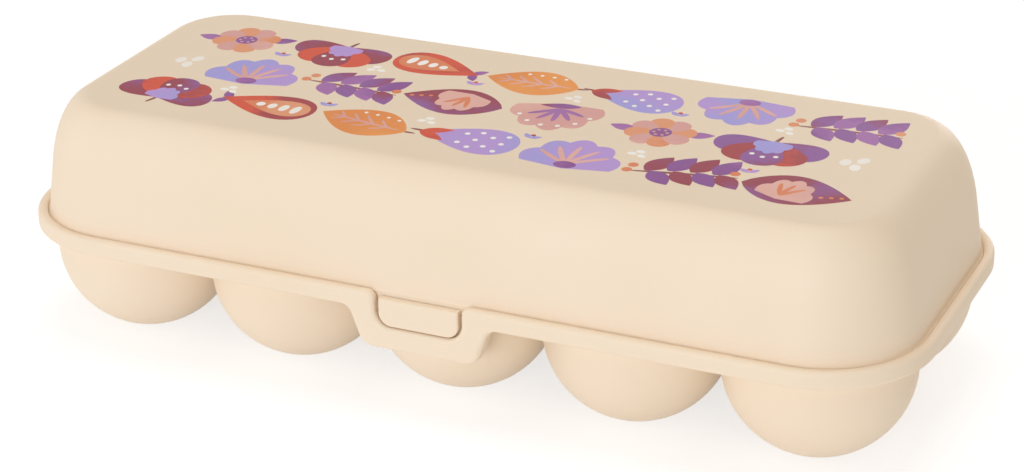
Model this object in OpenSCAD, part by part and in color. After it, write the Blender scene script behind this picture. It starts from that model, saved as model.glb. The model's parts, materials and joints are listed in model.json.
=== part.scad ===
// Egg keeper with a flip lid: ten egg cups hang from a rimmed deck, and a rounded lid
// swings up on two snap hinges at the back and closes with a tab at the front.
// Sizes are in millimetres, +Z is up, the length runs along X and the front faces -Y.
// The origin is at the middle of the whole object's footprint, on the table.

/* [Egg cups] */
// Inner radius of a cup, which is the seat of the egg
cup_inner_r = 23.8; // [20:0.1:28]
// Width of the web that the deck keeps between the inner faces of neighbouring cups
cup_web = 2.4; // [2.2:0.1:8]
// Wall of a cup
cup_wall = 1.8; // [1.2:0.1:2.2]
// Height cut off the round bottom of a cup to make its flat foot
cup_foot_cut = 0.8; // [0.3:0.1:1.4]
// Straight neck of a cup, from the widest part of its ball up to the deck
cup_neck_h = 6.0; // [5:0.2:12]

/* [Deck and rim] */
// Thickness of the deck that carries the cups
deck_t = 1.6; // [1.2:0.1:2.4]
// Bevel on the upper edge of each cup's mouth
mouth_bevel = 0.7; // [0.2:0.1:1]
// How far the rim's outer face stands out past the cups
rim_reach = 5.0; // [4.8:0.1:10]
// Thickness of the rim's wall
rim_wall = 3.0; // [2.4:0.1:3.4]
// Height of the rim's band
rim_h = 5.2; // [4.8:0.1:8]
// Rounding of the rim's outer top edge
rim_round = 1.0; // [0.3:0.1:1.4]
// Rounding of the rim's other edges
rim_small_round = 0.5; // [0.2:0.1:0.8]

/* [Lid] */
// Height of the lid above the rim
lid_h = 33.0; // [31:0.5:42]
// Wall of the lid
lid_wall = 1.8; // [1.2:0.1:2.4]
// Gap between the lid's foot and the rim, all round
lid_gap = 0.5; // [0.3:0.05:0.8]
// Gap between the lid's foot and the deck that it closes on
seat_gap = 0.3; // [0.2:0.05:0.6]
// Draft angle of the lid's lower wall
lid_draft = 8; // [3:0.5:12]
// Width of the lid's rounded shoulder
shoulder_w = 12.0; // [8:0.5:16]
// Height of the lid's rounded shoulder
shoulder_h = 27.0; // [18:0.5:30]

/* [Latch] */
// Width of the lid's tab
tab_w = 23.2; // [16:0.2:28]
// Distance from the top of the rim down to the tab's top face
tab_top_drop = 1.7; // [0.8:0.1:1.9]
// Distance from the top of the rim down to the tab's lower end
tab_end_drop = 9.5; // [8:0.1:12]
// Rounding of the tab's lower corners
tab_corner_r = 3.6; // [1:0.1:5]
// How far the tab's face lies behind the rim's face
tab_setback = 0.6; // [0.2:0.1:1]
// Gap between the tab and each side of its pocket
tab_side_gap = 1.0; // [0.4:0.1:1.4]
// Gap between the tab's lower end and the floor of its pocket
tab_end_gap = 0.5; // [0.3:0.1:1]
// Gap between the tab and the back of its pocket
tab_back_gap = 0.3; // [0.2:0.05:0.6]
// Rounding of the rim where the tab passes through it
notch_round = 2.5; // [1:0.1:3]
// Width of the front tongue where it leaves the rim
tongue_top_w = 41; // [38:0.5:50]
// Width of the front tongue across its lower end
tongue_end_w = 33; // [30:0.5:36]
// Length of the front tongue below the rim
tongue_drop = 11.0; // [9.5:0.1:14]
// Rounding of the tongue's lower corners
tongue_corner_r = 4.5; // [1:0.1:6]
// Rounding where the tongue's sides run into the rim
tongue_root_r = 3.0; // [0.5:0.1:4]
// Wall of the tongue behind the tab's pocket
tongue_back_wall = 1.2; // [0.8:0.1:1.6]

/* [Hinges] */
// Distance between the middles of the two hinges
hinge_spacing = 130; // [80:1:170]
// Radius of a hinge axle
axle_r = 1.5; // [1.2:0.05:1.8]
// Radial clearance between a clip and its axle
axle_clearance = 0.05; // [0.02:0.01:0.08]
// Wall of the clip round the axle
clip_wall = 1.6; // [1.2:0.1:1.8]
// Length of a clip along its axle
clip_w = 12; // [8:0.5:20]
// Angle of the mouth by which a clip snaps over its axle
clip_mouth = 90; // [60:5:100]
// Gap between a clip and each ear
clip_side_gap = 0.4; // [0.3:0.05:0.8]
// Gap between a clip and the back of the rim
clip_back_gap = 0.45; // [0.3:0.05:0.8]
// Thickness of the arm that joins a clip to the lid
arm_t = 2.2; // [1.6:0.1:3]
// Gap between an arm and the top of the rim
arm_gap = 0.4; // [0.3:0.05:0.8]
// Thickness of an ear
ear_t = 2.4; // [1.6:0.1:4]
// Height of the lid above the table when it lies fully open
open_gap = 0.4; // [0.2:0.1:2]

/* [Hidden] */

// Each row has five cups, as the names of the nodes say
egg_columns = 5;
cream = [0.95, 0.88, 0.78];

// Faces of the round parts, and steps of a drawn arc
$fn = 96;
arc_steps = 14;
corner_steps = 6;
// Length by which a cutter runs past what it cuts
over = 1;

// Plan: the rim, the deck and the lid all run round the centres of the corner cups
egg_pitch = 2 * cup_inner_r + cup_web;
grid_x = (egg_columns - 1) * egg_pitch / 2;
grid_y = egg_pitch / 2;

// Heights of the tray
cup_outer_r = cup_inner_r + cup_wall;
ball_z = cup_outer_r - cup_foot_cut;
deck_z = ball_z + cup_neck_h;
deck_top = deck_z + deck_t;
rim_top = deck_z + rim_h;
// Distances from the centre of a corner cup to the faces of the rim
rim_r = cup_outer_r + rim_reach;
rim_inner_r = rim_r - rim_wall;
rim_face = grid_y + rim_r;

// Sizes of the lid
foot_r = rim_inner_r - lid_gap;
foot_z = deck_top + seat_gap;
lid_top = rim_top + lid_h;
// The shoulder is a quarter of an ellipse that starts where its slope meets the drafted wall
shoulder_z = lid_top - shoulder_h;
shoulder_start = atan(tan(lid_draft) * shoulder_h / shoulder_w);
wall_top = shoulder_z + shoulder_h * sin(shoulder_start);
wall_top_r = foot_r - (wall_top - rim_top) * tan(lid_draft);
roof_r = wall_top_r - shoulder_w * cos(shoulder_start);

// Places of the latch
tab_face = rim_face - tab_setback;
tab_back = grid_y + rim_inner_r + tab_back_gap;
tab_top = rim_top - tab_top_drop;
tab_end = rim_top - tab_end_drop;
pocket_half_w = tab_w / 2 + tab_side_gap;
pocket_floor = tab_end - tab_end_gap;
pocket_back = grid_y + rim_inner_r;
tongue_end = deck_z - tongue_drop;
tongue_back = pocket_back - tongue_back_wall;

// Places of the hinges
clip_bore_r = axle_r + axle_clearance;
clip_outer_r = clip_bore_r + clip_wall;
axis_y = rim_face + clip_back_gap + clip_outer_r;
axis_z = (lid_top + open_gap) / 2;
ear_r = axis_y - rim_face;
ear_gap = clip_w + 2 * clip_side_gap;
arm_z = max(rim_top + arm_gap, axis_z - arm_t / 2);

// The whole object reaches from the front face of the rim to the back of the ears
back_face = axis_y + ear_r;
centre_shift = (back_face - rim_face) / 2;

// Moves what is drawn round the middle of the cups to the middle of the footprint
module placed() {
    translate([0, -centre_shift, 0])
    children();
}

function unit(v) = v / norm(v);

// Points of the arc that rounds corner b, between its neighbours a and c
function corner_arc(a, b, c, r, steps = corner_steps) =
    let(u = unit(a - b),
        v = unit(c - b),
        half = acos(u * v) / 2,
        middle = b + unit(u + v) * r / sin(half),
        start = b + u * r / tan(half) - middle,
        end = b + v * r / tan(half) - middle,
        from = atan2(start.y, start.x),
        turn = atan2(end.y, end.x) - from,
        sweep = turn > 180 ? turn - 360 : (turn < -180 ? turn + 360 : turn))
    [for (i = [0:steps]) middle + r * [cos(from + sweep * i / steps), sin(from + sweep * i / steps)]];

// Where a line from point p touches a circle of radius r about c, on the given side (1 or -1)
function tangent_point(p, c, r, side) =
    let(d = norm(p - c),
        towards = atan2(p.y - c.y, p.x - c.x),
        angle = towards + side * acos(r / d))
    c + r * [cos(angle), sin(angle)];

// Sweeps a profile of [distance from the corner cup's centre, height] round the keeper
module sweep_round(profile) {
    for (mx = [0, 1], my = [0, 1])
        mirror([mx, 0, 0]) mirror([0, my, 0])
        translate([grid_x, grid_y, 0])
        rotate_extrude(angle = 90) polygon(profile);
    for (my = [0, 1])
        mirror([0, my, 0])
        translate([-grid_x, grid_y, 0])
        rotate([90, 0, 90]) linear_extrude(2 * grid_x) polygon(profile);
    for (mx = [0, 1])
        mirror([mx, 0, 0])
        translate([grid_x, grid_y, 0])
        rotate([90, 0, 0]) linear_extrude(2 * grid_y) polygon(profile);
}

// Fills the middle of such a sweep between two heights
module fill_middle(z0, z1) {
    translate([-grid_x, -grid_y, z0]) cube([2 * grid_x, 2 * grid_y, z1 - z0]);
}

// Draws a front view of [x, z] points and gives it depth from y0 back to y1
module front_plate(points, y0, y1) {
    translate([0, y1, 0])
    rotate([90, 0, 0]) linear_extrude(y1 - y0) polygon(points);
}

// Draws a side view of [y, z] points along the hinge axis, centred on x = 0
module side_plate(width) {
    translate([-width / 2, 0, 0])
    rotate([90, 0, 90]) linear_extrude(width) children();
}

// The space inside a cup, from its flat floor up past the deck
module cup_hollow() {
    difference() {
        union() {
            translate([0, 0, ball_z]) sphere(cup_inner_r);
            translate([0, 0, ball_z]) cylinder(r = cup_inner_r, h = cup_neck_h + deck_t + over);
        }
        translate([-cup_inner_r, -cup_inner_r, -over])
        cube([2 * cup_inner_r, 2 * cup_inner_r, cup_wall + over]);
    }
}

// The room that one cup has before it meets the cups beside and behind it
module cup_share(column, row) {
    first = column == 1;
    last = column == egg_columns;
    x0 = first ? -cup_outer_r - over : -egg_pitch / 2;
    x1 = last ? cup_outer_r + over : egg_pitch / 2;
    y0 = row < 0 ? -cup_outer_r - over : -egg_pitch / 2;
    y1 = row < 0 ? egg_pitch / 2 : cup_outer_r + over;
    translate([x0, y0, 0]) cube([x1 - x0, y1 - y0, deck_z]);
}

// One cup: a ball with a straight neck and a flat foot, cut where it meets its neighbours
module egg_cup(column, row) {
    color(cream)
    placed()
    translate([(column - (egg_columns + 1) / 2) * egg_pitch, row * grid_y, 0])
    difference() {
        intersection() {
            union() {
                translate([0, 0, ball_z]) sphere(cup_outer_r);
                translate([0, 0, ball_z]) cylinder(r = cup_outer_r, h = cup_neck_h);
            }
            cup_share(column, row);
        }
        cup_hollow();
    }
}

// The flat deck, with a bevelled mouth over each cup
module egg_deck() {
    color(cream)
    placed()
    difference() {
        union() {
            sweep_round([[0, deck_z], [rim_inner_r, deck_z], [rim_inner_r, deck_top], [0, deck_top]]);
            fill_middle(deck_z, deck_top);
        }
        for (column = [1:egg_columns], row = [-1, 1])
            translate([(column - (egg_columns + 1) / 2) * egg_pitch, row * grid_y, deck_z]) {
                translate([0, 0, -over]) cylinder(r = cup_inner_r, h = deck_t + 2 * over);
                translate([0, 0, deck_t - mouth_bevel])
                cylinder(r1 = cup_inner_r, r2 = cup_inner_r + mouth_bevel + over, h = mouth_bevel + over);
            }
    }
}

// Front view of the pocket that the lid's tab drops into, open at the top of the rim
function pocket_outline() =
    let(top = rim_top + over,
        floor_left = [-pocket_half_w, pocket_floor],
        floor_right = [pocket_half_w, pocket_floor],
        mouth_left = [-pocket_half_w, rim_top],
        mouth_right = [pocket_half_w, rim_top],
        floor_r = tab_corner_r + tab_end_gap,
        left_lip = corner_arc([-2 * tab_w, rim_top], mouth_left, floor_left, notch_round),
        right_lip = corner_arc(floor_right, mouth_right, [2 * tab_w, rim_top], notch_round))
    concat([[left_lip[0].x, top]], left_lip,
           corner_arc(mouth_left, floor_left, floor_right, floor_r),
           corner_arc(floor_left, floor_right, mouth_right, floor_r),
           right_lip, [[right_lip[corner_steps].x, top]]);

// The band round the keeper, with a gap at the front where the tab passes
module rim_band() {
    low_in = [rim_inner_r, deck_z];
    low_out = [rim_r, deck_z];
    top_out = [rim_r, rim_top];
    top_in = [rim_inner_r, rim_top];
    color(cream)
    placed()
    difference() {
        sweep_round(concat([low_in], corner_arc(low_in, low_out, top_out, rim_small_round),
                           corner_arc(low_out, top_out, top_in, rim_round),
                           corner_arc(top_out, top_in, low_in, rim_small_round)));
        front_plate(pocket_outline(), -rim_face - over, -pocket_back + over);
    }
}

// The tongue that hangs from the rim at the front and holds the tab's pocket
module latch_tongue() {
    top_left = [-tongue_top_w / 2, deck_z];
    top_right = [tongue_top_w / 2, deck_z];
    end_left = [-tongue_end_w / 2, tongue_end];
    end_right = [tongue_end_w / 2, tongue_end];
    color(cream)
    placed()
    difference() {
        front_plate(concat(corner_arc([-tongue_top_w, deck_z], top_left, end_left, tongue_root_r),
                           corner_arc(top_left, end_left, end_right, tongue_corner_r),
                           corner_arc(end_left, end_right, top_right, tongue_corner_r),
                           corner_arc(end_right, top_right, [tongue_top_w, deck_z], tongue_root_r)),
                    -rim_face, -tongue_back);
        front_plate(pocket_outline(), -rim_face - over, -pocket_back);
    }
}

// One hinge bracket: two ears on the back of the rim with the axle between them
module hinge_bracket(side) {
    axis = [axis_y, axis_z];
    foot = [rim_face, deck_z];
    color(cream)
    placed()
    translate([side * hinge_spacing / 2, 0, 0]) {
        for (end = [-1, 1])
            translate([end * (ear_gap + ear_t) / 2, 0, 0])
            side_plate(ear_t) {
                translate(axis) circle(ear_r);
                polygon([foot, tangent_point(foot, axis, ear_r, 1), axis, [rim_face, axis_z]]);
            }
        side_plate(ear_gap + ear_t) translate(axis) circle(axle_r);
    }
}

// Points of the lid's side, from its foot up to the edge of its roof, at a depth inside its skin
function lid_side(depth) =
    concat([[foot_r - depth, foot_z], [foot_r - depth, rim_top]],
           [for (i = [0:arc_steps])
               let(angle = shoulder_start + (90 - shoulder_start) * i / arc_steps)
               [roof_r + (shoulder_w - depth) * cos(angle),
                shoulder_z + (shoulder_h - depth) * sin(angle)]]);

// The lid as a full block, to fit its arms against
module lid_block() {
    sweep_round(concat([[0, foot_z]], lid_side(0), [[0, lid_top]]));
    fill_middle(foot_z, lid_top);
}

function reversed(list) = [for (i = [len(list) - 1:-1:0]) list[i]];

// The lid: one even wall with a drafted side, a long rounded shoulder and a flat roof
module lid_shell() {
    color(cream)
    placed() {
        sweep_round(concat(lid_side(0), [[0, lid_top], [0, lid_top - lid_wall]], reversed(lid_side(lid_wall))));
        fill_middle(lid_top - lid_wall, lid_top);
    }
}

// The tab that stands out from the lid's foot and drops into the tongue's pocket
module latch_tab() {
    top_left = [-tab_w / 2, tab_top];
    top_right = [tab_w / 2, tab_top];
    end_left = [-tab_w / 2, tab_end];
    end_right = [tab_w / 2, tab_end];
    lid_face = grid_y + foot_r;
    color(cream)
    placed() {
        front_plate(concat([top_left], corner_arc(top_left, end_left, end_right, tab_corner_r),
                           corner_arc(end_left, end_right, top_right, tab_corner_r), [top_right]),
                    -tab_face, -tab_back);
        translate([-tab_w / 2, -tab_back, foot_z])
        cube([tab_w, tab_back - lid_face, tab_top - foot_z]);
    }
}

// One hinge clip: an arm from the lid over the rim, ending in a ring that is open below
module hinge_clip(side) {
    axis = [axis_y, axis_z];
    arm_low = [grid_y, arm_z];
    arm_high = [grid_y, arm_z + arm_t];
    mouth = 2 * clip_outer_r;
    color(cream)
    placed()
    translate([side * hinge_spacing / 2, 0, 0])
    difference() {
        side_plate(clip_w)
        difference() {
            union() {
                translate(axis) circle(clip_outer_r);
                polygon([arm_low, [axis_y, arm_z], axis, tangent_point(arm_high, axis, clip_outer_r, -1), arm_high]);
            }
            translate(axis) circle(clip_bore_r);
            translate(axis)
            polygon([[0, 0], mouth * [-sin(clip_mouth / 2), -cos(clip_mouth / 2)],
                     mouth * [0, -2], mouth * [sin(clip_mouth / 2), -cos(clip_mouth / 2)]]);
        }
        translate([-side * hinge_spacing / 2, 0, 0]) lid_block();
    }
}

egg_deck();
rim_band();
latch_tongue();
for (column = [1:egg_columns]) {
    egg_cup(column, -1);
    egg_cup(column, 1);
}
hinge_bracket(-1);  // hinge_bracket_left
hinge_bracket(1);  // hinge_bracket_right
lid_shell();
latch_tab();
hinge_clip(-1);  // hinge_clip_left
hinge_clip(1);  // hinge_clip_right
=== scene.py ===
"""Looks of the egg keeper with a flip lid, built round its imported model.

Two cream mouldings, a tray with ten egg cups and a lid, meet at a latch in front and at two snap
hinges behind. The lid's roof carries a print. All sizes are in metres, in the model's own frame.
"""

import json
import logging
import math
import random
from collections.abc import Callable, Iterable, Sequence
from dataclasses import dataclass
from enum import Enum

import bmesh
import bpy
from mathutils import Matrix, Vector


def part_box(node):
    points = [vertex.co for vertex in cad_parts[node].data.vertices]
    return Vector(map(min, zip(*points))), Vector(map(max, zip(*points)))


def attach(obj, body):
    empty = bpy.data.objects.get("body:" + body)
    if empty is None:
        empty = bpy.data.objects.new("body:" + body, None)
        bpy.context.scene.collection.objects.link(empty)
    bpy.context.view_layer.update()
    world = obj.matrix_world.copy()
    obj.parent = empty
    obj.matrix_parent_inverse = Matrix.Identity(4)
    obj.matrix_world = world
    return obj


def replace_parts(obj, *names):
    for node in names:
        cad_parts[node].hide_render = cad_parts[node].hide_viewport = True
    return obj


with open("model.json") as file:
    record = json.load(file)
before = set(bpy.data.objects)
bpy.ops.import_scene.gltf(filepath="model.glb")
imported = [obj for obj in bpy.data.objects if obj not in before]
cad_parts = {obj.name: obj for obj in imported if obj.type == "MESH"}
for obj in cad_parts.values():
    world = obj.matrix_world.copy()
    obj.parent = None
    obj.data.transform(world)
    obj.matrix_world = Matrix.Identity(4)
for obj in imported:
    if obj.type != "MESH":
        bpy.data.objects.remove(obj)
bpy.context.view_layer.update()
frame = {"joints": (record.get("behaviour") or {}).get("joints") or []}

LOG = logging.getLogger("egg_keeper")

MM = 0.001
# Distance under which two vertices are one
NEAR = 0.005 * MM
QUARTER = math.pi / 2
# Cosine over which a face counts as square to an axis
SQUARE_ON = 0.99
WHITE_LIGHT = (1, 1, 1, 1)
Point = tuple[float, float]
Piece = bpy.types.Object


# Work on the bench: small steps in edit mode that the sub-assemblies share


def leave_edit_mode() -> None:
    """Go back to object mode with nothing selected."""
    if bpy.context.object is not None and bpy.context.object.mode != "OBJECT":
        bpy.ops.object.mode_set(mode="OBJECT")
    bpy.ops.object.select_all(action="DESELECT")


def pick(piece: Piece) -> None:
    """Select one piece alone and make it active.

    Args:
        piece: the piece to select.
    """
    leave_edit_mode()
    piece.select_set(True)
    bpy.context.view_layer.objects.active = piece


def edit(piece: Piece) -> None:
    """Open one piece in edit mode with all of it selected.

    Args:
        piece: the piece to open.
    """
    pick(piece)
    bpy.ops.object.mode_set(mode="EDIT")
    bpy.ops.mesh.select_mode(type="VERT")
    bpy.ops.mesh.select_all(action="SELECT")


def select_vertices(test: Callable[[Vector], bool]) -> None:
    """Select the vertices of the piece in edit mode by their place.

    Args:
        test: says of a vertex's place whether it is selected.
    """
    bpy.ops.mesh.select_mode(type="VERT")
    bpy.ops.mesh.select_all(action="DESELECT")
    mesh = bpy.context.object.data
    bm = bmesh.from_edit_mesh(mesh)
    for vertex in bm.verts:
        if test(vertex.co):
            vertex.select_set(True)
    bm.select_flush(True)
    bmesh.update_edit_mesh(mesh)


def select_faces(test: Callable[[Vector, Vector], bool]) -> None:
    """Select the faces of the piece in edit mode by their middle and normal.

    Args:
        test: says of a face's middle and normal whether it is selected.
    """
    bpy.ops.mesh.select_mode(type="FACE")
    bpy.ops.mesh.select_all(action="DESELECT")
    mesh = bpy.context.object.data
    bm = bmesh.from_edit_mesh(mesh)
    for face in bm.faces:
        if test(face.calc_center_median(), face.normal):
            face.select_set(True)
    bm.select_flush(True)
    bmesh.update_edit_mesh(mesh)


def draw_line(name: str, points: Sequence[Vector]) -> Piece:
    """Draw a line of edges, from one vertex on, and stay in edit mode.

    Args:
        name: the new piece's name.
        points: the line's points, in order.

    Returns:
        The new piece, whose object sits at the origin.
    """
    leave_edit_mode()
    bpy.ops.mesh.primitive_plane_add(size=MM, location=(0, 0, 0))
    piece = bpy.context.object
    piece.name = piece.data.name = name
    edit(piece)
    bpy.ops.mesh.merge(type="CENTER")
    bpy.ops.transform.translate(value=points[0])
    for here, there in zip(points, points[1:]):
        bpy.ops.mesh.extrude_vertices_move(TRANSFORM_OT_translate={"value": there - here})
    return piece


def close_line() -> None:
    """Join the two free ends of the line in edit mode by an edge."""
    bpy.ops.mesh.select_all(action="DESELECT")
    mesh = bpy.context.object.data
    bm = bmesh.from_edit_mesh(mesh)
    for vertex in bm.verts:
        if len(vertex.link_edges) == 1:
            vertex.select_set(True)
    bmesh.update_edit_mesh(mesh)
    bpy.ops.mesh.edge_face_add()
    bpy.ops.mesh.select_all(action="SELECT")


def extrude(move: Iterable[float], steps: int = 1) -> None:
    """Extrude what is selected, in equal steps.

    Args:
        move: the whole way, along X, Y and Z.
        steps: the number of equal steps.
    """
    step = Vector(move) / steps
    for _ in range(steps):
        bpy.ops.mesh.extrude_region_move(TRANSFORM_OT_translate={"value": step})


def round_edge(radius: float, steps: int) -> None:
    """Round the outline of the selected flat faces, forward along their normal.

    Args:
        radius: the radius of the rounding, by which the faces also move forward.
        steps: the number of insets that make up the quarter circle.
    """
    for step in range(steps):
        before = QUARTER * step / steps
        after = QUARTER * (step + 1) / steps
        bpy.ops.mesh.inset(
            thickness=radius * (math.cos(before) - math.cos(after)),
            depth=radius * (math.sin(after) - math.sin(before)),
            use_even_offset=True,
        )


def clean(piece: Piece) -> None:
    """Merge doubles, turn the normals outwards and leave edit mode.

    Args:
        piece: the piece to clean.
    """
    edit(piece)
    bpy.ops.mesh.remove_doubles(threshold=NEAR)
    bpy.ops.mesh.normals_make_consistent(inside=False)
    leave_edit_mode()


def shift(piece: Piece, move: Iterable[float]) -> None:
    """Move a piece's mesh, so that its object stays at the origin.

    Args:
        piece: the piece to move.
        move: how far, along X, Y and Z.
    """
    edit(piece)
    bpy.ops.transform.translate(value=Vector(move))
    leave_edit_mode()


def copy_of(piece: Piece, name: str, matrix: Matrix) -> Piece:
    """Copy a piece with a mesh of its own, and place the copy in that mesh.

    Args:
        piece: the piece to copy.
        name: the copy's name.
        matrix: where the copy goes.

    Returns:
        The copy.
    """
    copy = piece.copy()
    copy.data = piece.data.copy()
    copy.name = copy.data.name = name
    copy.data.transform(matrix)
    bpy.context.scene.collection.objects.link(copy)
    return copy


def join(pieces: Sequence[Piece], name: str) -> Piece:
    """Join pieces into the first of them, under a new name.

    Args:
        pieces: the pieces, which may be one alone.
        name: the new name.

    Returns:
        The joined piece.
    """
    leave_edit_mode()
    for piece in pieces:
        piece.select_set(True)
    bpy.context.view_layer.objects.active = pieces[0]
    if len(pieces) > 1:
        bpy.ops.object.join()
    pieces[0].name = pieces[0].data.name = name
    return pieces[0]


def apply_modifier(piece: Piece, kind: str, **settings: object) -> None:
    """Add a modifier with its settings and apply it.

    Args:
        piece: the piece that gets it.
        kind: the modifier's type.
        settings: its properties and their values.
    """
    pick(piece)
    bpy.ops.object.modifier_add(type=kind)
    modifier = piece.modifiers[-1]
    for setting, value in settings.items():
        setattr(modifier, setting, value)
    bpy.ops.object.modifier_apply(modifier=modifier.name)


def smooth(piece: Piece, crease_deg: float = 32.0, large_faces: int = 60) -> None:
    """Shade a piece smoothly, with its flat faces kept flat and its sharp edges kept sharp.

    Args:
        piece: the piece to shade.
        crease_deg: edges with a larger angle stay sharp.
        large_faces: over 50, larger faces count for more in the normals at their edges.
    """
    pick(piece)
    bpy.ops.object.shade_smooth_by_angle(angle=math.radians(crease_deg))
    apply_modifier(piece, "WEIGHTED_NORMAL", keep_sharp=True, weight=large_faces)


def corner_arc(before: Point, corner: Point, after: Point, radius: float, steps: int) -> list[Point]:
    """Points of the arc that rounds a corner of an outline.

    Args:
        before: a point on the side that leads to the corner.
        corner: the corner itself.
        after: a point on the side that leads away from it.
        radius: the radius of the arc.
        steps: the number of steps along it.

    Returns:
        The points of the arc, both ends included.
    """
    tip = Vector(corner)
    back = (Vector(before) - tip).normalized()
    ahead = (Vector(after) - tip).normalized()
    half = back.angle(ahead) / 2
    middle = tip + (back + ahead).normalized() * radius / math.sin(half)
    start = tip + back * radius / math.tan(half) - middle
    end = tip + ahead * radius / math.tan(half) - middle
    first = math.atan2(start.y, start.x)
    sweep = math.remainder(math.atan2(end.y, end.x) - first, 2 * math.pi)
    angles = [first + sweep * step / steps for step in range(steps + 1)]
    return [(middle.x + radius * math.cos(a), middle.y + radius * math.sin(a)) for a in angles]


def arc(middle: Point, radius: float, first_deg: float, last_deg: float, steps: int) -> list[Point]:
    """Points of an arc about a middle, from one angle to another, both included."""
    angles = [math.radians(first_deg + (last_deg - first_deg) * i / steps) for i in range(steps + 1)]
    return [(middle[0] + radius * math.cos(a), middle[1] + radius * math.sin(a)) for a in angles]


# Finishes


def linear(colour: str) -> tuple[float, float, float, float]:
    """Turn an sRGB colour such as "#f3e0c8" into linear values with full alpha."""
    channels = [int(colour[i:i + 2], 16) / 255 for i in (1, 3, 5)]
    return (*[c / 12.92 if c <= 0.04045 else ((c + 0.055) / 1.055) ** 2.4 for c in channels], 1.0)


def add_node(
    tree: bpy.types.NodeTree, kind: str, inputs: dict | None = None, **settings: object,
) -> bpy.types.Node:
    """Add a shader node with its settings, input values and links.

    Args:
        tree: the node tree that it joins.
        kind: the node's type.
        inputs: value, or output socket to link from, by input name or number.
        settings: the node's own properties and their values.

    Returns:
        The new node.
    """
    node = tree.nodes.new(kind)
    for setting, value in settings.items():
        setattr(node, setting, value)
    for key, value in (inputs or {}).items():
        if isinstance(value, bpy.types.NodeSocket):
            tree.links.new(value, node.inputs[key])
        else:
            node.inputs[key].default_value = value
    return node


def empty_material(name: str) -> tuple[bpy.types.Material, bpy.types.NodeTree]:
    """Add a material that has no nodes yet.

    Args:
        name: the material's name.

    Returns:
        The material and its node tree.
    """
    material = bpy.data.materials.new(name)
    material.use_nodes = True
    material.node_tree.nodes.clear()
    return material, material.node_tree


@dataclass(frozen=True)
class MouldedPolypropylene:
    """Injection-moulded polypropylene from a spark-eroded mould.

    The eye sees a soft satin cream: an even colour with the faintest clouding from the melt's flow,
    a broad sheen without a clear reflection, and a grain that only breaks up the highlights.
    """

    name: str
    colour: str = "#f4e1ca"
    cloud_colour: str = "#f0dcc1"
    ior: float = 1.49
    # The grain traps part of the sheen
    sheen: float = 0.32
    roughness: float = 0.5
    roughness_spread: float = 0.05
    # Size of the clouds in the colour
    cloud: float = 34 * MM
    # The real grain is about 0.15 mm; it is drawn three times as coarse so that it still shows
    grain: float = 0.45 * MM
    grain_height: float = 0.012 * MM
    grain_strength: float = 0.6

    def material(self) -> bpy.types.Material:
        """Build the material.

        Returns:
            The new material.
        """
        material, tree = empty_material(self.name)
        place = add_node(tree, "ShaderNodeTexCoord").outputs["Object"]
        clouds = add_node(tree, "ShaderNodeTexNoise", {
            "Vector": place, "Scale": 1 / self.cloud, "Detail": 2.0,
        })
        colour = add_node(tree, "ShaderNodeMix", {
            "Factor": clouds.outputs["Fac"], 6: linear(self.colour), 7: linear(self.cloud_colour),
        }, data_type="RGBA")
        grain = add_node(tree, "ShaderNodeTexNoise", {
            "Vector": place, "Scale": 1 / self.grain, "Detail": 3.0,
        })
        roughness = add_node(tree, "ShaderNodeMapRange", {
            "Value": grain.outputs["Fac"],
            "To Min": self.roughness - self.roughness_spread,
            "To Max": self.roughness + self.roughness_spread,
        })
        bump = add_node(tree, "ShaderNodeBump", {
            "Height": grain.outputs["Fac"], "Strength": self.grain_strength,
            "Distance": self.grain_height,
        })
        shader = add_node(tree, "ShaderNodeBsdfPrincipled", {
            "Base Color": colour.outputs[2], "Roughness": roughness.outputs["Result"],
            "IOR": self.ior, "Specular IOR Level": self.sheen, "Normal": bump.outputs["Normal"],
        })
        add_node(tree, "ShaderNodeOutputMaterial", {"Surface": shader.outputs["BSDF"]})
        return material


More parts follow.
